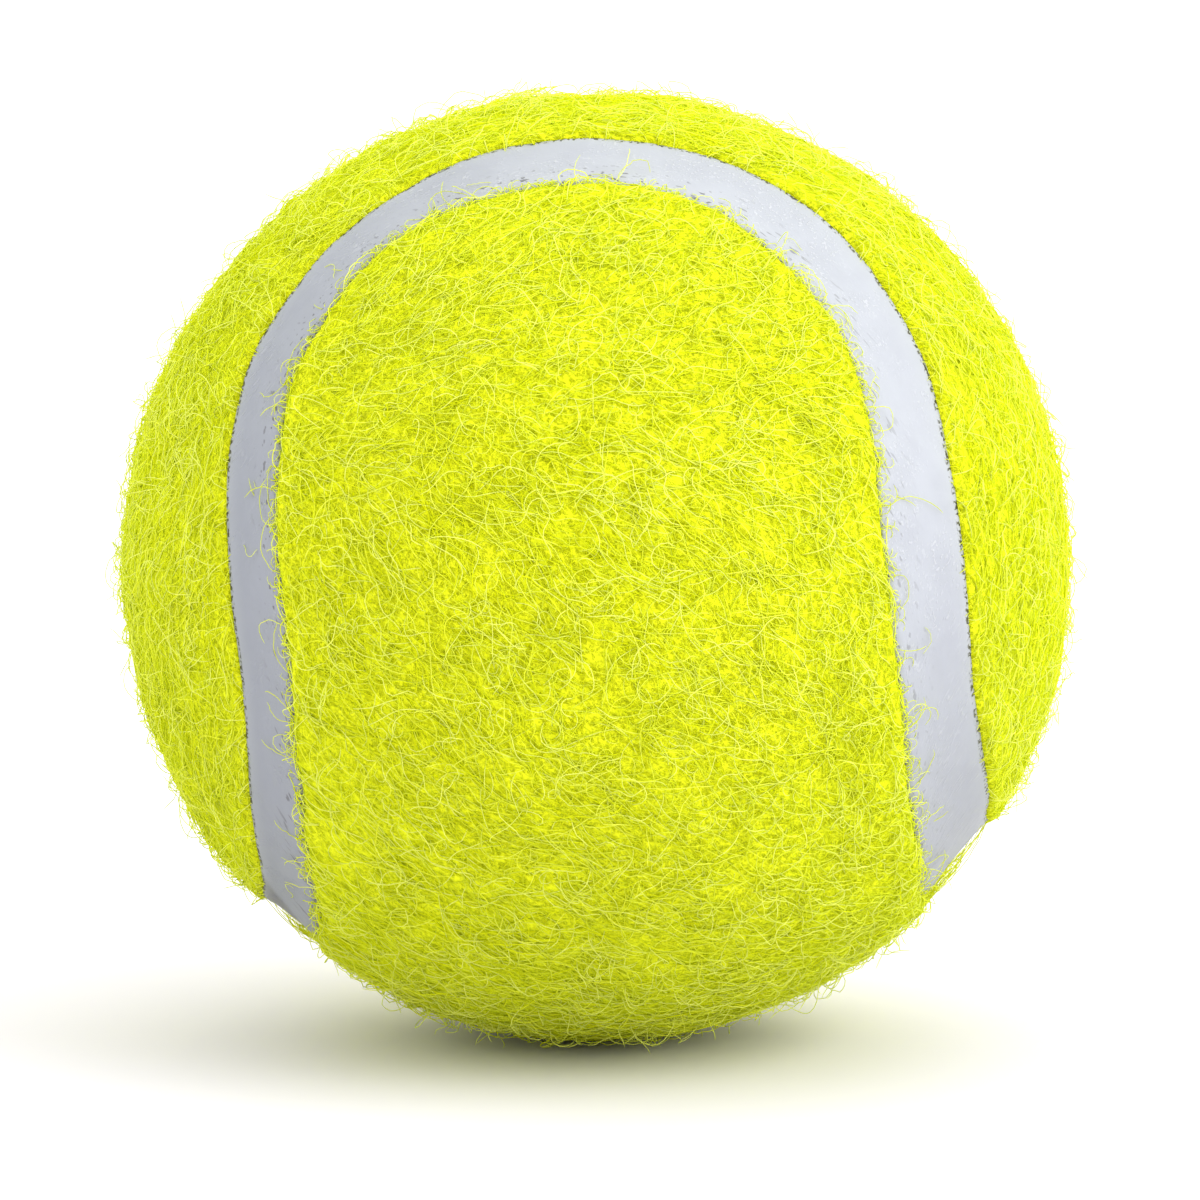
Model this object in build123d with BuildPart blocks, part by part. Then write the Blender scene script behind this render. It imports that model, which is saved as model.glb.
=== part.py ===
"""Tennis ball: a hollow rubber core of two cemented halves, two felt panels and a rubber seam.

The origin is the ball's centre and +Z points up from the floor that it lies on. Lengths are in
millimetres, the angles that are given are in degrees, and those worked out from lengths in radians.
"""

import os
from collections import namedtuple
from math import acos, cos, degrees, radians, sin, sqrt, tan

from build123d import *

# Whole ball, over the brushed felt
ball_diameter = 67.0

# Rubber core: two pressed half shells with a film of cement between them and a coat all over
core_wall = 3.3
joint_thickness = 0.2
coat_thickness = 0.25

# Felt cover: a thin backing cloth that carries a thick pile with rounded cut edges
cloth_thickness = 0.6
pile_height = 2.5
pile_edge_radius = 0.5

# Rubber seam in the gap between the panels: its width, how far its edges and its middle lie below
# the felt, and the length of each straight run that joins one rounded lobe to the next
seam_width = 6.2
seam_depth = 0.6
seam_dish = 0.3
seam_straight = 8.8

# How the ball lies on the floor: its seam leans back, rolls to its left and turns a little
seam_lean = 24.8
seam_roll = 4.8
seam_turn = 2.6

# Radii of the layers, from the outside in
ball_radius = ball_diameter / 2
seam_radius = ball_radius - seam_depth
cloth_radius = ball_radius - pile_height
coat_radius = cloth_radius - cloth_thickness
core_radius = coat_radius - coat_thickness
cavity_radius = core_radius - core_wall

# The cover is made in the seam's own frame, with a lobe round each of the X and Y directions, one
# panel over the top and the other underneath, and each finished piece is then turned as it lies.
centre = Vector(0, 0, 0)
lobe_axes = [Vector(0, -1, 0), Vector(1, 0, 0), Vector(0, 1, 0), Vector(-1, 0, 0)]
lie = (-seam_lean, -seam_roll, -seam_turn)

# Each lobe is a circle about its axis, lobe_angle away from it. Neighbouring axes are a right angle
# apart, and the straight between their two circles crosses halfway and touches both.
half_straight = seam_straight / 2 / ball_radius
lobe_angle = acos(cos(radians(45)) / cos(half_straight))
touch_angle = acos(tan(lobe_angle))

SeamRun = namedtuple("SeamRun", "start axis sweep")


def seam_runs():
    """The closed seam as eight tangent arcs: four lobes, and a great circle between each two."""
    runs = []
    for number, lobe in enumerate(lobe_axes):
        following = lobe_axes[(number + 1) % len(lobe_axes)]
        over = Vector(0, 0, 1) * (-1) ** number
        first = over * sin(touch_angle) - following * cos(touch_angle)
        last = over * sin(touch_angle) + following * cos(touch_angle)
        lobe_start = lobe * cos(lobe_angle) + first * sin(lobe_angle)
        lobe_end = lobe * cos(lobe_angle) + last * sin(lobe_angle)
        lobe_sweep = 180 - 2 * degrees(touch_angle)
        runs.append(SeamRun(lobe_start, Axis(centre, first.cross(over)), lobe_sweep))
        straight_axis = Axis(centre, lobe_end.cross(lobe + following))
        runs.append(SeamRun(lobe_end, straight_axis, 2 * degrees(half_straight)))
    return runs


def follow_seam(inner_radius, outer_radius, dish=0):
    """Add a bar of the seam's width between two radii, its outer face dished along the middle."""
    half_width = seam_width / 2
    shoulder = sqrt(outer_radius**2 - half_width**2)
    bars = []
    for run in seam_runs():
        across = Plane(origin=centre, x_dir=run.start, z_dir=run.axis.direction.cross(run.start))
        with BuildSketch(across) as section:
            with BuildLine():
                Polyline((shoulder, half_width), (0, half_width), (0, -half_width), (shoulder, -half_width))
                ThreePointArc((shoulder, half_width), (outer_radius - dish, 0), (shoulder, -half_width))
            make_face()
            Circle(inner_radius, mode=Mode.SUBTRACT)
        bars += revolve(section.sketch, run.axis, run.sweep, mode=Mode.PRIVATE).solids()
    add(bars)


def ball_layer(inner_radius, outer_radius):
    """Add a spherical layer, turned about the side lobes so that it closes over the upper panel."""
    with BuildSketch(Plane.XZ) as half_ring:
        Circle(outer_radius)
        Circle(inner_radius, mode=Mode.SUBTRACT)
        Rectangle(2 * outer_radius, outer_radius, align=(Align.CENTER, Align.MAX), mode=Mode.SUBTRACT)
    revolve(half_ring.sketch, Axis.X)


os.makedirs("parts", exist_ok=True)

# Upper and lower core halves, pressed from rubber, with rims ground flat for the joint
with BuildPart() as upper_core_half:
    Sphere(core_radius)
    Sphere(cavity_radius, mode=Mode.SUBTRACT)
    split(bisect_by=Plane.XY.offset(joint_thickness / 2), keep=Keep.TOP)
upper_core_half.part.label = "upper_core_half"
export_step(upper_core_half.part, "parts/upper_core_half.step")

with BuildPart() as lower_core_half:
    add(upper_core_half.part)
    mirror(about=Plane.XY, mode=Mode.REPLACE)
lower_core_half.part.label = "lower_core_half"
export_step(lower_core_half.part, "parts/lower_core_half.step")

# Ring of cement between the two rims
with BuildPart() as core_joint:
    Sphere(core_radius)
    Sphere(cavity_radius, mode=Mode.SUBTRACT)
    split(bisect_by=Plane.XY.offset(joint_thickness / 2), keep=Keep.BOTTOM)
    split(bisect_by=Plane.XY.offset(-joint_thickness / 2), keep=Keep.TOP)
core_joint.part.label = "core_joint"
export_step(core_joint.part, "parts/core_joint.step")

# Coat of cement over the joined core, which holds the panels and the seam
with BuildPart() as cement_coat:
    ball_layer(core_radius, coat_radius)
cement_coat.part.label = "cement_coat"
export_step(cement_coat.part, "parts/cement_coat.step")

# Rubber seam, one closed strip, from the coat up to just below the felt
with BuildPart() as seam_run_in:
    follow_seam(coat_radius, seam_radius, seam_dish)

with BuildPart() as seam_strip:
    add(seam_run_in.part, rotation=lie)
seam_strip.part.label = "seam_strip"
export_step(seam_strip.part, "parts/seam_strip.step")

# Gap between the panels, cut right through the cover, from inside it to outside it
with BuildPart() as seam_gap:
    follow_seam(core_radius, ball_radius + pile_height)

# Backing cloth of the two panels: the lower one has its waist under the ball, the upper one over it
with BuildPart() as cloth_cover:
    ball_layer(coat_radius, cloth_radius)
    add(seam_gap.part, mode=Mode.SUBTRACT)
lower_cloth, upper_cloth = cloth_cover.solids().sort_by(Axis.Z)

with BuildPart() as lower_base_cloth:
    add(lower_cloth, rotation=lie)
lower_base_cloth.part.label = "lower_base_cloth"
export_step(lower_base_cloth.part, "parts/lower_base_cloth.step")

with BuildPart() as upper_base_cloth:
    add(upper_cloth, rotation=lie)
upper_base_cloth.part.label = "upper_base_cloth"
export_step(upper_base_cloth.part, "parts/upper_base_cloth.step")

# Felt pile on the two cloths, brushed out over a rounded edge along the seam
with BuildPart() as pile_cover:
    ball_layer(cloth_radius, ball_radius)
    add(seam_gap.part, mode=Mode.SUBTRACT)
    cut_faces = pile_cover.faces().filter_by(GeomType.SPHERE, reverse=True)
    cut_edges = cut_faces.edges().filter_by(GeomType.CIRCLE)
    fillet(cut_edges.filter_by(lambda edge: (edge @ 0.5).length > seam_radius), pile_edge_radius)
lower_pile, upper_pile = pile_cover.solids().sort_by(Axis.Z)

with BuildPart() as lower_felt_pile:
    add(lower_pile, rotation=lie)
lower_felt_pile.part.label = "lower_felt_pile"
export_step(lower_felt_pile.part, "parts/lower_felt_pile.step")

with BuildPart() as upper_felt_pile:
    add(upper_pile, rotation=lie)
upper_felt_pile.part.label = "upper_felt_pile"
export_step(upper_felt_pile.part, "parts/upper_felt_pile.step")
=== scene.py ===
"""Tennis ball: rubber core, cement, backing cloth, rubber seam, felt panels and their brushed fibres.

Lengths are in metres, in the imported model's own frame, with the ball's centre at the origin.
"""

from collections import namedtuple
from math import acos, ceil, cos, pi, radians, sin, tan

import bmesh
import bpy
import numpy as np
from mathutils import Matrix, Quaternion, Vector, noise
from mathutils.kdtree import KDTree


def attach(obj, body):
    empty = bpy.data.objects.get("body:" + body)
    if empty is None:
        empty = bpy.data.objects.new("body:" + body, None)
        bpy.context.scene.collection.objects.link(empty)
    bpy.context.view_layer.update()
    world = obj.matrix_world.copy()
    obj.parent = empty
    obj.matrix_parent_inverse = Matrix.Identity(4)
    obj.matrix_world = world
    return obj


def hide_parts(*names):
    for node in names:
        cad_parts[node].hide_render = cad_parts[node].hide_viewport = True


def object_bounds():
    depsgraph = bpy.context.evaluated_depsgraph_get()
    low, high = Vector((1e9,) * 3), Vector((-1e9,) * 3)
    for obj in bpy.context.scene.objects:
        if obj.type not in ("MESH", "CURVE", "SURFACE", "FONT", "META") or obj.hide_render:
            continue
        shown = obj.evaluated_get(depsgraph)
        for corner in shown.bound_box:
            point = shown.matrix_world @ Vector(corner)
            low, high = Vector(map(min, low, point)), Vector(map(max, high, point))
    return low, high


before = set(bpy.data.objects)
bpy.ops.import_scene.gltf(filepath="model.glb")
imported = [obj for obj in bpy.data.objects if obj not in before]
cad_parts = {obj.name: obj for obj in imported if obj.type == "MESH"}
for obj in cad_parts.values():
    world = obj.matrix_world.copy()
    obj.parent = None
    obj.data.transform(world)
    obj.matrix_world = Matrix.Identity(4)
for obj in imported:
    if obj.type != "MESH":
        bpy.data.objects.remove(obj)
cad_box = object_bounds()
ball_radius = cad_box[1].z

# Core halves: two hollow shells pressed from black rubber, matt and a little dusty from the mould.
# Their rims are ground and cemented together, and the whole core is hidden under the cover.
clean_rubber = (0.045, 0.045, 0.05)
dusty_rubber = (0.085, 0.085, 0.09)
mould_relief = 0.00005


def start_material(name, roughness):
    """A new material: its node tree, its shader and the piece's own coordinates."""
    material = bpy.data.materials.new(name)
    material.use_nodes = True
    tree = material.node_tree
    shader = tree.nodes["Principled BSDF"]
    shader.inputs["Roughness"].default_value = roughness
    place = tree.nodes.new("ShaderNodeTexCoord").outputs["Object"]
    return material, tree, shader, place


def add_noise(tree, place, scale, detail=3.0, distortion=0.0):
    """A cloudy pattern with about this many spots to the metre."""
    cloud = tree.nodes.new("ShaderNodeTexNoise")
    cloud.inputs["Scale"].default_value = scale
    cloud.inputs["Detail"].default_value = detail
    cloud.inputs["Distortion"].default_value = distortion
    tree.links.new(place, cloud.inputs["Vector"])
    return cloud.outputs["Fac"]


def add_tones(tree, pattern, *tones):
    """Colours along a pattern, each given as its place from 0 to 1 and its colour."""
    ramp = tree.nodes.new("ShaderNodeValToRGB")
    stops = ramp.color_ramp.elements
    for stop, (position, colour) in zip(stops, tones):
        stop.position = position
        stop.color = (*colour, 1.0)
    tree.links.new(pattern, ramp.inputs["Fac"])
    return ramp.outputs["Color"]


def add_bump(tree, shader, height, depth):
    """Relief of the surface, with depth from the pattern's 0 to its 1."""
    bump = tree.nodes.new("ShaderNodeBump")
    bump.inputs["Distance"].default_value = depth
    tree.links.new(height, bump.inputs["Height"])
    tree.links.new(bump.outputs["Normal"], shader.inputs["Normal"])


core_rubber, tree, shader, place = start_material("core_rubber", roughness=0.85)
dust = add_noise(tree, place, scale=160, detail=5)
core_tones = add_tones(tree, dust, (0.35, clean_rubber), (0.7, dusty_rubber))
tree.links.new(core_tones, shader.inputs["Base Color"])
add_bump(tree, shader, add_noise(tree, place, scale=1400), mould_relief)
for name in ("upper_core_half", "lower_core_half"):
    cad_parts[name].material_slots[0].material = core_rubber

# Cement: rubber solution that dries to a yellowish film. One ring of it joins the two core halves,
# and a brushed coat over the joined core holds the cover.
thick_cement = (0.46, 0.41, 0.29)
thin_cement = (0.64, 0.59, 0.46)
brush_relief = 0.0001

cement, tree, shader, place = start_material("cement", roughness=0.5)
brush_marks = add_noise(tree, place, scale=220, detail=4, distortion=1.5)
cement_tones = add_tones(tree, brush_marks, (0.3, thick_cement), (0.7, thin_cement))
tree.links.new(cement_tones, shader.inputs["Base Color"])
add_bump(tree, shader, brush_marks, brush_relief)
for name in ("core_joint", "cement_coat"):
    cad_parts[name].material_slots[0].material = cement

# Backing cloths: two woven dumb-bell panels that carry the pile. Each is stretched over half of the
# coated core until its edges meet the seam.
cloth_thickness = 0.00045
outer_face_cosine = 0.9
node_weld = 0.00001
weave_spacing = 0.0007
band_at_scale_1 = pi / 10
weave_relief = 0.0001
weave_hole = (0.45, 0.5, 0.1)
weave_thread = (0.74, 0.78, 0.24)


def copy_node(name):
    """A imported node's mesh as one joined surface, free to be changed."""
    mesh = bmesh.new()
    mesh.from_mesh(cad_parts[name].data)
    bmesh.ops.remove_doubles(mesh, verts=mesh.verts, dist=node_weld)
    return mesh


def add_piece(name, mesh, material):
    """A finished mesh as an object that rides on the ball."""
    piece = bpy.data.objects.new(name, mesh)
    bpy.context.collection.objects.link(piece)
    mesh.materials.append(material)
    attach(piece, "root")
    return piece


def add_math(tree, operation, *values):
    """One sum on numbers or on other nodes' results."""
    node = tree.nodes.new("ShaderNodeMath")
    node.operation = operation
    for value, socket in zip(values, node.inputs):
        if isinstance(value, (int, float)):
            socket.default_value = value
        else:
            tree.links.new(value, socket)
    return node.outputs[0]


backing_cloth, tree, shader, place = start_material("backing_cloth", roughness=0.9)
threads = []
for direction in ("X", "Z"):
    thread = tree.nodes.new("ShaderNodeTexWave")
    thread.bands_direction = direction
    thread.inputs["Scale"].default_value = band_at_scale_1 / weave_spacing
    tree.links.new(place, thread.inputs["Vector"])
    threads.append(thread.outputs["Fac"])
weave = add_math(tree, "MAXIMUM", *threads)
cloth_tones = add_tones(tree, weave, (0.2, weave_hole), (0.8, weave_thread))
tree.links.new(cloth_tones, shader.inputs["Base Color"])
add_bump(tree, shader, weave, weave_relief)

for half in ("lower", "upper"):
    node = f"{half}_base_cloth"
    cloth_mesh = copy_node(node)
    inner_faces = []
    for face in cloth_mesh.faces:
        if face.normal.dot(face.calc_center_median().normalized()) < outer_face_cosine:
            inner_faces.append(face)
    bmesh.ops.delete(cloth_mesh, geom=inner_faces, context="FACES")
    cloth = bpy.data.meshes.new(f"{half}_cloth")
    cloth_mesh.to_mesh(cloth)
    cloth_mesh.free()
    piece = add_piece(f"{half}_cloth", cloth, backing_cloth)
    wall = piece.modifiers.new("thickness", "SOLIDIFY")
    wall.thickness = cloth_thickness
    wall.offset = -1.0
    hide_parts(node)

# Seam: one closed strip of pale grey rubber in the gap between the panels, dished along its middle,
# with edges that dip under the rounded felt. It is pressed hot with the cover, so it bears the prints
# of fibres, and play has left it with nicks. Its colour also carries painted shade: darker towards the
# bottom and on the left, a dark patch on the shaded flank at the lower left, and dark specks in the
# gaps along its edges.
seam_width = 0.0062
seam_straight = 0.0088
seam_dish = 0.0003
seam_lean = radians(-24.8)
seam_roll = radians(-4.8)
seam_turn = radians(-2.6)
seam_widening = 0.0008
widening_fade = 0.008
dip_width = 0.0006
lower_dip = 0.0003
upper_dip = 0.0001
seam_step = 0.00035
seam_points = 32
seam_weld = 0.00005
seam_wander = 0.00034
wander_spacing = 0.0075
wander_seed = 5
ripple_height = 0.00006
ripple_spacing = 0.0018
pit_height = 0.00003
pit_spacing = 0.0006
bedded_height = 0.0005
open_face_cosine = 0.5
dark_grey = (0.44, 0.461, 0.502)
pale_grey = (0.472, 0.496, 0.536)
print_tone = (0.68, 0.7, 0.73)
print_share = 0.45
# Painted shade: the rubber's colour darkens towards the bottom of the ball.
low_shade_tone = (0.315, 0.333, 0.358)
low_shade_share = 0.9
# Painted shade: the rubber's colour darkens towards the left side of the ball.
left_shade_tone = (0.25, 0.268, 0.305)
left_shade_share = 0.6
# Painted shade: a dark patch low on the left front, where the strip's flank turns away from the light.
flank_shade_tone = (0.15, 0.153, 0.148)
flank_shade_share = 0.85
flank_shade_slant = 1.34
# The strip turns a little paler and greener towards its upper edge.
upper_side_tone = (0.5, 0.53, 0.53)
upper_side_share = 0.3
nick_tone = (0.16, 0.16, 0.17)
# Painted shade: dark specks for the shadowed gaps where the strip meets the felt.
upper_gap_shade = (0.07, 0.07, 0.03)
lower_gap_shade = (0.1, 0.1, 0.04)
grain_share = 0.4
seam_relief = 0.00003

half_width = seam_width / 2
seam_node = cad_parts["seam_strip"].data
seam_radii = [vert.co.length for vert in seam_node.vertices]
seam_foot = min(seam_radii)
seam_radius = max(seam_radii)
lean_back = Matrix.Rotation(seam_lean, 3, "X")
roll_left = Matrix.Rotation(seam_roll, 3, "Y")
seam_turned = lean_back @ roll_left @ Matrix.Rotation(seam_turn, 3, "Z")
half_straight = seam_straight / 2 / ball_radius
lobe_angle = acos(cos(radians(45)) / cos(half_straight))
touch_angle = acos(tan(lobe_angle))


def seam_runs():
    """The closed seam as eight tangent arcs: each one's first direction, its axis and its sweep."""
    lobes = [Vector((0, -1, 0)), Vector((1, 0, 0)), Vector((0, 1, 0)), Vector((-1, 0, 0))]
    for number, lobe in enumerate(lobes):
        following = lobes[(number + 1) % len(lobes)]
        over = Vector((0, 0, (-1) ** number))
        first = over * sin(touch_angle) - following * cos(touch_angle)
        last = over * sin(touch_angle) + following * cos(touch_angle)
        lobe_start = lobe * cos(lobe_angle) + first * sin(lobe_angle)
        lobe_end = lobe * cos(lobe_angle) + last * sin(lobe_angle)
        lobe_axis = first.cross(over).normalized()
        yield seam_turned @ lobe_start, seam_turned @ lobe_axis, pi - 2 * touch_angle
        straight_axis = lobe_end.cross(lobe + following).normalized()
        yield seam_turned @ lobe_end, seam_turned @ straight_axis, 2 * half_straight


def run_steps(axis, start, sweep):
    """Steps along one arc of the seam, each about as long as the seam step."""
    return ceil(sweep * axis.cross(start).length * ball_radius / seam_step)


def seam_height(across):
    """Radius of the strip's face, from -1 to 1 across it: a dish whose edges dip under the felt."""
    edge = max(0.0, (abs(across) - 1) * half_width / dip_width + 1)
    dip = upper_dip if across > 0 else lower_dip
    return seam_radius - seam_dish * (1 - across**2) - dip * edge**2


seam_line = []
seam_side = []
for start, axis, sweep in seam_runs():
    steps = run_steps(axis, start, sweep)
    for number in range(steps):
        middle = Quaternion(axis, sweep * number / steps) @ start
        seam_line.append(middle)
        seam_side.append(middle.cross(axis.cross(middle).normalized()))
seam_tree = KDTree(len(seam_line))
for number, middle in enumerate(seam_line):
    seam_tree.insert(middle, number)
seam_tree.balance()
noise.seed_set(wander_seed)


def wander(point):
    """A point of the cover as laid by hand: a little astray, with a gap that is wider on the right."""
    direction = point.normalized()
    side = seam_side[seam_tree.find(direction)[1]]
    offset = ball_radius * side.dot(direction) / half_width
    fade = max(0.0, 1 - max(0.0, abs(offset) - 1) * half_width / widening_fade)
    widening = seam_widening * direction.x * fade * max(-1.0, min(1.0, offset))
    return point + seam_wander * noise.noise_vector(point / wander_spacing) + side * widening


seam_mesh = bmesh.new()
across_layer = seam_mesh.verts.layers.float.new("across")
outline = []
for number in range(seam_points + 1):
    across = -1 + 2 * number / seam_points
    outline.append((across, seam_height(across)))
outline += [(1, seam_foot), (-1, seam_foot)]
start, axis, _ = next(seam_runs())
sideways = start.cross(axis.cross(start).normalized())
section = []
for across, radius in outline:
    vert = seam_mesh.verts.new(start * radius + sideways * across * half_width)
    vert[across_layer] = across
    section.append(vert)
rim = [seam_mesh.edges.new((vert, section[number - 1])) for number, vert in enumerate(section)]
moving = section + rim
for start, axis, sweep in seam_runs():
    steps = run_steps(axis, start, sweep)
    spun = bmesh.ops.spin(seam_mesh, geom=moving, cent=(0, 0, 0), axis=axis, angle=sweep, steps=steps)
    moving = spun["geom_last"]
bmesh.ops.remove_doubles(seam_mesh, verts=seam_mesh.verts, dist=seam_weld)
bmesh.ops.recalc_face_normals(seam_mesh, faces=seam_mesh.faces)
for face in seam_mesh.faces:
    face.smooth = face.normal.dot(face.calc_center_median().normalized()) > open_face_cosine
for vert in seam_mesh.verts:
    if vert.co.length > seam_foot + bedded_height:
        ripple = ripple_height * noise.noise(vert.co / ripple_spacing)
        ripple += pit_height * noise.noise(vert.co / pit_spacing)
        vert.co = wander(vert.co) * (1 + ripple / ball_radius)
strip = bpy.data.meshes.new("seam_rubber_strip")
seam_mesh.to_mesh(strip)
seam_mesh.free()


def add_range(tree, value, start, end):
    """Where a value goes from start to end, softly from 0 to 1."""
    node = tree.nodes.new("ShaderNodeMapRange")
    node.interpolation_type = "SMOOTHSTEP"
    node.inputs["From Min"].default_value = start
    node.inputs["From Max"].default_value = end
    tree.links.new(value, node.inputs["Value"])
    return node.outputs["Result"]


def add_colour(tree, under, colour, share, *limits):
    """One more colour over what is there, by its share, within its limits."""
    for limit in limits:
        share = add_math(tree, "MULTIPLY", share, limit)
    node = tree.nodes.new("ShaderNodeMix")
    node.data_type = "RGBA"
    tree.links.new(share, node.inputs["Factor"])
    tree.links.new(under, node.inputs["A"])
    node.inputs["B"].default_value = (*colour, 1.0)
    return node.outputs["Result"]


def add_mapping(tree, place, shift=(0, 0, 0), turn=(0, 0, 0), stretch=(1, 1, 1)):
    """The piece's coordinates, for a pattern that is moved, turned and stretched on it."""
    node = tree.nodes.new("ShaderNodeMapping")
    node.vector_type = "TEXTURE"
    node.inputs["Location"].default_value = shift
    node.inputs["Rotation"].default_value = turn
    node.inputs["Scale"].default_value = stretch
    tree.links.new(place, node.inputs["Vector"])
    return node.outputs["Vector"]


seam_rubber, tree, shader, place = start_material("seam_rubber", roughness=0.5)
spread = tree.nodes.new("ShaderNodeAttribute")
spread.attribute_name = "across"
across = spread.outputs["Fac"]
axes = tree.nodes.new("ShaderNodeSeparateXYZ")
tree.links.new(place, axes.inputs["Vector"])
right, back, up = axes.outputs

shade = add_noise(tree, place, scale=420, detail=5)
colour = add_tones(tree, shade, (0.3, dark_grey), (0.7, pale_grey))
print_lay = add_mapping(tree, place, turn=(0, -0.9, 0), stretch=(6, 1, 1))
strokes = add_range(tree, add_noise(tree, print_lay, scale=5000, detail=1), start=0.53, end=0.68)
patches = add_range(tree, add_noise(tree, place, scale=260), start=0.4, end=0.6)
prints = add_math(tree, "MULTIPLY", strokes, patches)
colour = add_colour(tree, colour, print_tone, prints, print_share)
# Painted shade: darker towards the bottom of the ball.
low_shade = add_range(tree, up, start=0.012, end=-0.03)
colour = add_colour(tree, colour, low_shade_tone, low_shade, low_shade_share)
# Painted shade: darker towards the left side of the ball.
left_shade = add_range(tree, right, start=0.005, end=-0.03)
colour = add_colour(tree, colour, left_shade_tone, left_shade, left_shade_share)
# Painted shade: a dark patch low on the left front of the strip, standing in for its shadowed flank.
slant = add_math(tree, "SUBTRACT", back, add_math(tree, "MULTIPLY", right, flank_shade_slant))
flank_shade = add_range(tree, slant, start=0.0195, end=0.0212)
flank_shade_low = add_range(tree, up, start=-0.0165, end=-0.019)
flank_shade_front = add_range(tree, back, start=0.006, end=-0.004)
colour = add_colour(tree, colour, flank_shade_tone, flank_shade, flank_shade_low, flank_shade_front, flank_shade_share)
# Paler and greener towards the strip's upper edge.
upper_side = add_range(tree, across, start=0.5, end=1.0)
colour = add_colour(tree, colour, upper_side_tone, upper_side, upper_side_share)
nick_lay = add_mapping(tree, place, turn=(0, 0.9, 0), stretch=(5, 1, 1))
nicks = add_range(tree, add_noise(tree, nick_lay, scale=2600, detail=1), start=0.64, end=0.69)
lower_part = add_range(tree, across, start=0.3, end=-0.7)
left_part = add_range(tree, right, start=0.04, end=0.0)
colour = add_colour(tree, colour, nick_tone, nicks, lower_part, left_part)
# Painted shade: dark specks in the gaps against the felt, dense along the upper edge and sparse along the
# lower.
speck_noise = add_noise(tree, place, scale=3600, detail=1)
dense_specks = add_range(tree, speck_noise, start=0.51, end=0.59)
upper_edge = add_range(tree, across, start=0.88, end=0.94)
colour = add_colour(tree, colour, upper_gap_shade, dense_specks, upper_edge)
sparse_specks = add_range(tree, speck_noise, start=0.62, end=0.7)
lower_edge = add_range(tree, across, start=-0.86, end=-0.93)
colour = add_colour(tree, colour, lower_gap_shade, sparse_specks, lower_edge)
tree.links.new(colour, shader.inputs["Base Color"])
grain = add_math(tree, "MULTIPLY", add_noise(tree, place, scale=2600, detail=2), grain_share)
add_bump(tree, shader, add_math(tree, "ADD", grain, prints), seam_relief)
seam_piece = add_piece("seam_rubber_strip", strip, seam_rubber)
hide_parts("seam_strip")

# Felt panels: two dumb-bell cuts of napped wool and nylon felt, dyed a bright yellow-green. Each is
# bonded to its backing cloth, pulled over half of the ball and brushed so that its edge rounds over.
# Its colour carries painted shade, darker between its threads and in scattered hollows of the pile.
felt_grain = 0.0005
pile_depth = 0.0003
pile_foot = 0.0315
pile_loft = 0.001
clump_height = 0.00013
clump_spacing = 0.0035
tuft_height = 0.00008
tuft_spacing = 0.0013
thread_layers = 3
layer_shift = Vector((0.37, 0.11, 0.23))
layer_growth = 0.3
cloud_middle = 0.5
thread_relief = 0.0001
# Painted shade: the felt is darker between its threads and in scattered hollows of the pile.
felt_shade = (0.73, 0.78, 0.001)
felt_light = (0.955, 0.995, 0.02)
felt_sheen = (0.8, 1.0, 0.04)
hollow_shade_tone = (0.45, 0.48, 0.0005)
hollow_shade_share = 0.6


def felt_rise(point):
    """How far the felt's clumps stand above its hollows, at a place on the ball."""
    clumps = clump_height * noise.noise(point / clump_spacing)
    return clumps + tuft_height * noise.noise(point / tuft_spacing)


def add_threads(tree, place, scale, width):
    """Fine curly lines, like layers of threads: the places where a cloudy pattern is near its middle."""
    threads = 0.0
    for number in range(thread_layers):
        moved = add_mapping(tree, place, shift=layer_shift * number)
        cloud = add_noise(tree, moved, scale * (1 + layer_growth * number), detail=1.5)
        away = add_math(tree, "ABSOLUTE", add_math(tree, "SUBTRACT", cloud, cloud_middle))
        threads = add_math(tree, "MAXIMUM", threads, add_range(tree, away, start=width, end=0.0))
    return threads


def take_mesh(holder):
    """The finished mesh of an object that was only there to shape it."""
    shaped = holder.evaluated_get(bpy.context.evaluated_depsgraph_get())
    mesh = bpy.data.meshes.new_from_object(shaped)
    bpy.data.objects.remove(holder)
    return mesh


felt, tree, shader, place = start_material("felt", roughness=0.95)
shader.inputs["Specular IOR Level"].default_value = 0.0
shader.inputs["Sheen Weight"].default_value = 1.0
shader.inputs["Sheen Roughness"].default_value = 0.5
shader.inputs["Sheen Tint"].default_value = (*felt_sheen, 1.0)
combed = add_mapping(tree, place, turn=(0, 0.715, 0), stretch=(2.2, 1, 1))
combed_threads = add_threads(tree, combed, scale=1500, width=0.07)
loose_threads = add_threads(tree, place, scale=1500, width=0.06)
felt_web = add_math(tree, "MAXIMUM", combed_threads, loose_threads)
felt_tones = add_tones(tree, felt_web, (0.0, felt_shade), (0.9, felt_light))
# Painted shade: scattered dark hollows of the pile.
shaded_hollows = add_range(tree, add_noise(tree, combed, scale=2100, detail=2), start=0.5, end=0.32)
felt_colour = add_colour(tree, felt_tones, hollow_shade_tone, shaded_hollows, hollow_shade_share)
tree.links.new(felt_colour, shader.inputs["Base Color"])
add_bump(tree, shader, felt_web, thread_relief)

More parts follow.
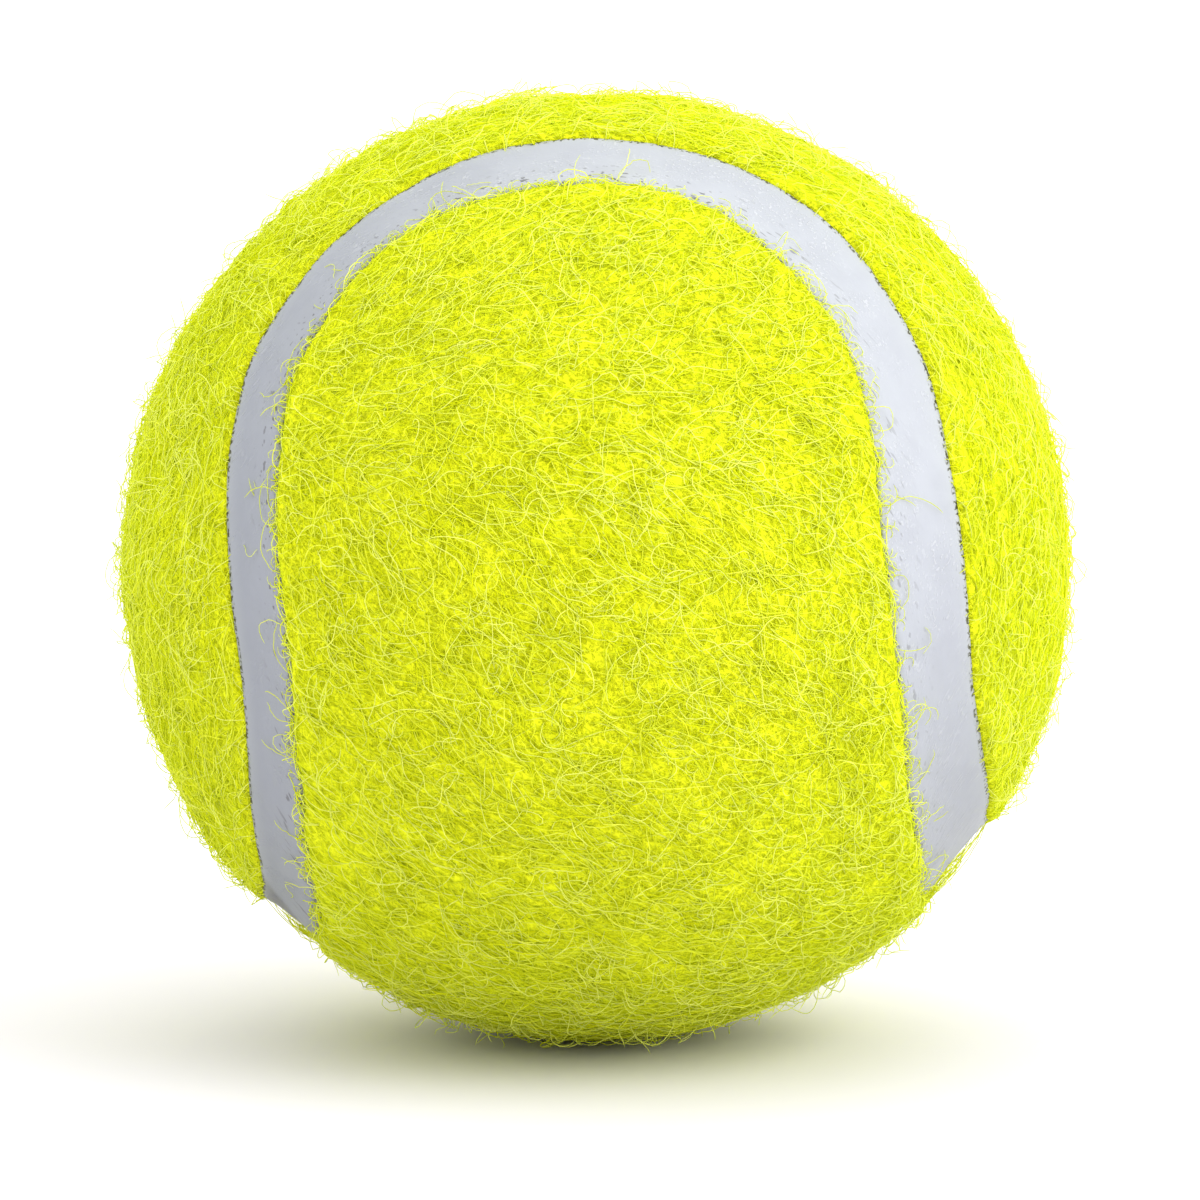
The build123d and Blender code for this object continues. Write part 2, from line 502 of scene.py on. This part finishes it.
for half in ("lower", "upper"):
    node = f"{half}_felt_pile"
    felt_mesh = copy_node(node)
    block = bpy.data.meshes.new(f"{half}_felt")
    felt_mesh.to_mesh(block)
    felt_mesh.free()
    blank = bpy.data.objects.new(f"{half}_felt", block)
    bpy.context.collection.objects.link(blank)
    nap = blank.modifiers.new("nap", "REMESH")
    nap.mode = "VOXEL"
    nap.voxel_size = felt_grain
    nap.use_smooth_shade = True
    panel = take_mesh(blank)
    for vert in panel.vertices:
        loft = min(1.0, max(0.0, (vert.co.length - pile_foot) / pile_loft))
        vert.co = wander(vert.co) * (1 + (felt_rise(vert.co) - pile_depth) * loft / ball_radius)
    piece = add_piece(f"{half}_felt_panel", panel, felt)
    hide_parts(node)

# Fibres: crimped wool and nylon threads of the nap, brushed up out of the felt. They lie as a combed
# web with curls, proud loops and loose hairs, and as a brim, a fringe, long curls, bridges and lint
# at the seam. Each has one plain colour, too thin for a pattern, with painted shade on the low ones
# and painted highlight on the high ones, which are paler.
comb = np.array((0.755, 0.0, -0.656))
top_turn = 1.3
top_start = 0.2
top_fade = 0.5
side_turn = -0.9
wave_counts = (0.4, 1.5)
felt_overhang = 0.00022
longest_overhang = 4
upper_shortening = 3
curl_unevenness = 0.7
crimp = 0.00004
arch_power = 0.7
lift_power = 1.3
edge_drop = 0.0002
edge_round = 0.0006
edge_strip = (half_width, half_width + 0.0004)
brim_strip = (half_width, half_width + 0.0005)
lint_strip = (0, 0.6 * half_width)
lower_left = np.array((-0.67, 0.0, -0.73))
lower_right = np.array((0.77, 0.0, -0.64))
bridge_cosine = 0.975
fibre_width = 0.00008
fibre_sides = 3
fibre_seed = 11
tone_mixing = 0.0005
fibre_sheen = (0.82, 1.0, 0.12)
# Five tones of one fibre colour: painted shade for the low fibres, painted highlight for the high, paler
# ones.
fibre_tones = {
    "deep": (0.82, 0.87, 0.001),
    "body": (0.86, 0.915, 0.005),
    "bright": (0.93, 0.985, 0.04),
    "light": (0.94, 0.995, 0.085),
    "pale": (0.945, 1.0, 0.18),
}

dice = np.random.default_rng(fibre_seed)
seam_middles = np.array(seam_line)
seam_sides = np.array(seam_side)
Fibre = namedtuple("Fibre", "half height girth points")


def unit(vectors):
    """Vectors of length 1 in the same directions."""
    return vectors / np.linalg.norm(vectors, axis=-1, keepdims=True)


def from_seam(directions):
    """Distance of places from the seam's middle, positive on the upper panel, and the way to that panel."""
    nearest = np.argmax(directions @ seam_middles.T, axis=1)
    sides = seam_sides[nearest]
    return ball_radius * np.sum(sides * directions, axis=1), sides


def anywhere(count):
    """Places all over the two panels."""
    places = unit(dice.normal(size=(count, 3)))
    return places[np.abs(from_seam(places)[0]) > half_width]


def along_seam(count, low, high, near=None):
    """Places along the seam, between two distances below its middle, all round or near one place."""
    chosen = dice.integers(len(seam_middles), size=count)
    if near is not None:
        around = np.flatnonzero(seam_middles @ unit(near) > bridge_cosine)
        chosen = dice.choice(around, size=count)
    angle = -dice.uniform(low, high, count) / ball_radius
    return np.cos(angle)[:, None] * seam_middles[chosen] + np.sin(angle)[:, None] * seam_sides[chosen]


def cut_at_seam(paths, overhang):
    """The same paths, cut short half a step before they hang too far over the seam."""
    count, points = paths.shape[:2]
    offset = from_seam(paths.reshape(-1, 3))[0].reshape(count, points)
    reach = np.minimum(dice.exponential(overhang, count), longest_overhang * overhang)
    reach[offset[:, 0] > 0] /= upper_shortening
    outside = np.sign(offset[:, :1]) * offset < half_width - reach[:, None]
    last = np.where(outside.any(axis=1), outside.argmax(axis=1) - 0.5, points - 1)
    place = np.outer(last, np.linspace(0, 1, points))
    before = np.minimum(place.astype(int), points - 2)
    share = (place - before)[:, :, None]
    each = np.arange(count)[:, None]
    return unit((1 - share) * paths[each, before] + share * paths[each, before + 1])


def step_on(here, along, angle, pace):
    """The next places of some paths, one pace on at an angle to the way along."""
    turn = np.cos(angle)[:, None] * along + np.sin(angle)[:, None] * np.cross(here, along)
    return unit(here + turn * (pace / ball_radius)[:, None])


def comb_paths(starts, steps, length, spread, swing, curl, overhang=felt_overhang):
    """Paths over the ball that stray from the comb by a spread, wave by a swing and bend by a curl.
    The comb turns towards the top of the ball, and runs another way on the upper panel."""
    count = len(starts)
    pace = dice.uniform(*length, count) / steps
    heading = dice.normal(0, spread, count) + np.where(dice.random(count) < 0.5, pi, 0)
    heading += top_turn * np.clip((starts[:, 2] - top_start) / top_fade, 0, 1)
    heading += side_turn * (from_seam(starts)[0] > 0)
    sway = dice.uniform(*swing, count)
    phase = dice.uniform(0, 2 * pi, count)
    waves = dice.uniform(*wave_counts, count)
    bend = dice.normal(0, curl, count) * pace
    path = [starts]
    for step in range(steps):
        here = path[-1]
        along = unit(comb - (here @ comb)[:, None] * here)
        angle = heading + sway * np.sin(2 * pi * waves * step / steps + phase) + bend * step
        path.append(step_on(here, along, angle, pace))
    return cut_at_seam(np.stack(path, axis=1), overhang)


def curl_paths(starts, steps, length, radius, spread=0.5):
    """Paths that leave the felt's edge over the seam, a third of their bend back, and curl round."""
    count = len(starts)
    pace = dice.uniform(*length, count) / steps
    bend = dice.choice((-1, 1), count) * pace / dice.uniform(*radius, count)
    offset, upward = from_seam(starts)
    along = -np.sign(offset)[:, None] * upward
    angle = dice.normal(0, spread, count) - bend * steps / 3
    path = [starts]
    for _ in range(steps):
        angle = angle + bend * dice.normal(1, curl_unevenness, count)
        path.append(step_on(path[-1], along, angle, pace))
    return np.stack(path, axis=1)


def raise_fibres(paths, low, high, girth, loose=0.0):
    """Fibres on these paths. Their ends are low and their middles, or the tips of the loose ones, are
    high above the felt."""
    count, stops = paths.shape[:2]
    share = np.linspace(0, 1, stops)
    top = dice.uniform(*high, count)
    rise = low + np.outer(top - low, np.sin(pi * share) ** arch_power)
    lifted = dice.random(count) < loose
    rise[lifted] = low + np.outer(top[lifted] - low, share**lift_power)
    rise += dice.normal(0, crimp, rise.shape)
    room = np.abs(from_seam(paths.reshape(-1, 3))[0]).reshape(count, stops) - half_width
    rise -= edge_drop * np.clip(1 - room / edge_round, 0, 1)
    halves = np.where(from_seam(paths[:, 0])[0] > 0, "upper", "lower")
    fibres = []
    for half, height, path, lifts in zip(halves, top, paths, rise):
        points = []
        for place, lift in zip(path, lifts):
            point = wander(Vector(place) * ball_radius)
            point *= 1 + (felt_rise(point) - pile_depth + lift) / ball_radius
            point.z = max(point.z, fibre_width / 2 - ball_radius)
            points.append(point)
        fibres.append(Fibre(half, height, girth, points))
    return fibres


section_curve = bpy.data.curves.new("fibre_section", "CURVE")
section_curve.dimensions = "2D"
outline = section_curve.splines.new("POLY")
outline.points.add(fibre_sides - 1)
for number, point in enumerate(outline.points):
    turn = -2 * pi * number / fibre_sides
    point.co = (fibre_width / 2 * cos(turn), fibre_width / 2 * sin(turn), 0, 1)
outline.use_cyclic_u = True
fibre_section = bpy.data.objects.new("fibre_section", section_curve)
bpy.context.collection.objects.link(fibre_section)


def spin_fibres(name, fibres):
    """Mesh of many fibres, each a thin three-sided thread that tapers to its ends."""
    curve = bpy.data.curves.new(name, "CURVE")
    curve.dimensions = "3D"
    curve.bevel_mode = "OBJECT"
    curve.bevel_object = fibre_section
    curve.use_fill_caps = True
    for fibre in fibres:
        thread = curve.splines.new("POLY")
        thread.points.add(len(fibre.points) - 1)
        thread.points.foreach_set("co", [number for point in fibre.points for number in (*point, 1.0)])
        taper = [fibre.girth] * len(fibre.points)
        taper[0] = fibre.girth / 2
        taper[-1] = fibre.girth / 2
        thread.points.foreach_set("radius", taper)
    holder = bpy.data.objects.new(name, curve)
    bpy.context.collection.objects.link(holder)
    mesh = take_mesh(holder)
    bpy.data.curves.remove(curve)
    return mesh


# One material for each tone of the one fibre colour, from painted shade to painted highlight.
height_shades = {}
for tone, colour in fibre_tones.items():
    height_shades[tone], _, shader, _ = start_material(f"fibre_{tone}", roughness=0.7)
    shader.inputs["Base Color"].default_value = (*colour, 1.0)
    shader.inputs["Specular IOR Level"].default_value = 0.0
    shader.inputs["Sheen Weight"].default_value = 1.0
    shader.inputs["Sheen Tint"].default_value = (*fibre_sheen, 1.0)

web = comb_paths(anywhere(15000), steps=8, length=(0.003, 0.007), spread=0.35, swing=(0.1, 0.7), curl=150)
curls = comb_paths(anywhere(7000), steps=9, length=(0.002, 0.004), spread=1.5, swing=(0.1, 0.5), curl=1300)
loops = comb_paths(anywhere(7000), steps=9, length=(0.002, 0.005), spread=0.8, swing=(0.2, 1.0), curl=600)
hairs = comb_paths(
    anywhere(1400), steps=9, length=(0.002, 0.005), spread=1.5, swing=(0.2, 0.9), curl=400, overhang=0.001
)
brim_starts = along_seam(1500, *brim_strip)
brim = curl_paths(brim_starts, steps=6, length=(0.0006, 0.0015), radius=(0.0004, 0.002), spread=1.1)
fringe_starts = along_seam(800, *edge_strip)
fringe = curl_paths(fringe_starts, steps=9, length=(0.0008, 0.0024), radius=(0.00025, 0.0009))
curl_starts = along_seam(130, *edge_strip)
long_curls = curl_paths(curl_starts, steps=10, length=(0.002, 0.006), radius=(0.0008, 0.004))
bridges = []
for count, corner in ((80, lower_left), (40, lower_right)):
    bridge_starts = along_seam(count, *edge_strip, near=corner)
    bridges.append(curl_paths(bridge_starts, steps=10, length=(0.003, 0.009), radius=(0.001, 0.008)))
lint_starts = along_seam(24, *lint_strip)
lint = comb_paths(
    lint_starts, steps=9, length=(0.002, 0.004), spread=1.5, swing=(0.2, 1.2), curl=500, overhang=1.0
)
fibres = raise_fibres(web, low=-0.0001, high=(0.00002, 0.0004), girth=1.0)
fibres += raise_fibres(curls, low=-0.0001, high=(0.00005, 0.0004), girth=0.9)
fibres += raise_fibres(loops, low=-0.0002, high=(0.0002, 0.001), girth=0.9)
fibres += raise_fibres(hairs, low=-0.0002, high=(0.0005, 0.0018), girth=0.8, loose=0.6)
fibres += raise_fibres(brim, low=-0.0003, high=(-0.0004, 0.0), girth=0.8)
fibres += raise_fibres(fringe, low=-0.0001, high=(-0.0002, 0.0002), girth=0.65)
fibres += raise_fibres(long_curls, low=-0.0001, high=(-0.0004, 0.0004), girth=0.7)
for paths in bridges:
    fibres += raise_fibres(paths, low=-0.0001, high=(-0.0004, 0.0005), girth=0.75)
# Each panel's fibres are sorted by height into the tones: painted shade low down, painted highlight higher
# up.
for half in ("lower", "upper"):
    own = [fibre for fibre in fibres if fibre.half == half]
    order = np.argsort([fibre.height + dice.normal(0, tone_mixing) for fibre in own])
    for tone, group in zip(fibre_tones, np.array_split(order, len(fibre_tones))):
        name = f"{half}_fibres_{tone}"
        add_piece(name, spin_fibres(name, [own[number] for number in group]), height_shades[tone])
strays = raise_fibres(lint, low=-0.00035, high=(-0.0003, 0.0), girth=0.6)
add_piece("seam_lint", spin_fibres("seam_lint", strays), height_shades["pale"])
bpy.data.objects.remove(fibre_section)

# Floor: one large sheet of smooth white board that the ball lies on. It is plain and matt, so that
# it shows nothing but the ball's soft shadow, and it is no part of the ball.
floor_size = 8.0
floor_tone = (0.82, 0.8, 0.855)

floor_mesh = bmesh.new()
bmesh.ops.create_grid(floor_mesh, x_segments=1, y_segments=1, size=floor_size / 2)
bmesh.ops.translate(floor_mesh, verts=floor_mesh.verts, vec=(0, 0, -ball_radius))
floor_sheet = bpy.data.meshes.new("floor")
floor_mesh.to_mesh(floor_sheet)
floor_mesh.free()
floor = bpy.data.objects.new("floor", floor_sheet)
bpy.context.collection.objects.link(floor)
white_floor, _, shader, _ = start_material("white_floor", roughness=0.9)
shader.inputs["Specular IOR Level"].default_value = 0.0
shader.inputs["Base Color"].default_value = (*floor_tone, 1.0)
floor_sheet.materials.append(white_floor)

# Light: a white room that is brightest above and behind the ball, and one large soft lamp from the
# upper right. The room lights the ball by its own level, and is plain white where it is seen.
room_light = 0.83
back_light = 1.9
back_direction = (-0.1, 0.62, 0.78)
lamp_direction = Vector((0.8, -0.3, 0.55))
lamp_distance = 3.0
lamp_size = 2.6
lamp_power = 56


def add_seen(tree):
    """1 for what the camera sees, straight or in a gloss or through glass, and 0 for light."""
    path = tree.nodes.new("ShaderNodeLightPath").outputs
    mirrored = add_math(tree, "MAXIMUM", path["Is Glossy Ray"], path["Is Transmission Ray"])
    return add_math(tree, "MAXIMUM", path["Is Camera Ray"], mirrored)


room = bpy.data.worlds.new("room")
bpy.context.scene.world = room
room.use_nodes = True
tree = room.node_tree
backdrop = tree.nodes["Background"]
backdrop.inputs["Color"].default_value = (1, 1, 1, 1)
around = tree.nodes.new("ShaderNodeVectorMath")
around.operation = "DOT_PRODUCT"
around.inputs[1].default_value = back_direction
tree.links.new(tree.nodes.new("ShaderNodeTexCoord").outputs["Generated"], around.inputs[0])
behind = tree.nodes.new("ShaderNodeMapRange")
behind.inputs["To Min"].default_value = room_light
behind.inputs["To Max"].default_value = back_light
tree.links.new(around.outputs["Value"], behind.inputs["Value"])
level = tree.nodes.new("ShaderNodeMapRange")
tree.links.new(behind.outputs["Result"], level.inputs["To Min"])
tree.links.new(add_seen(tree), level.inputs["Value"])
tree.links.new(level.outputs["Result"], backdrop.inputs["Strength"])
lamp_data = bpy.data.lights.new("soft_lamp", "AREA")
lamp_data.size = lamp_size
lamp_data.energy = lamp_power
lamp = bpy.data.objects.new("soft_lamp", lamp_data)
lamp.location = lamp_direction.normalized() * lamp_distance
lamp.rotation_euler = lamp.location.to_track_quat("Z", "Y").to_euler()
bpy.context.collection.objects.link(lamp)

# Camera: a long lens from a little above the floor, far enough away to flatten the ball. It is aimed
# a little to the right of the ball's middle and below it, as in the photograph.
view_height = radians(9)
view_distance = 60 * ball_radius
picture_width = 0.0848
aim_right = 0.00032
aim_down = 0.0024

camera_data = bpy.data.cameras.new("camera")
camera_data.lens = camera_data.sensor_width * view_distance / picture_width
camera = bpy.data.objects.new("camera", camera_data)
outward = Vector((0, -cos(view_height), sin(view_height)))
upward = Vector((0, sin(view_height), cos(view_height)))
camera.location = outward * view_distance + Vector((aim_right, 0, 0)) - upward * aim_down
camera.rotation_euler = outward.to_track_quat("Z", "Y").to_euler()
bpy.context.collection.objects.link(camera)
bpy.context.scene.camera = camera
bpy.context.scene.view_settings.view_transform = "Standard"
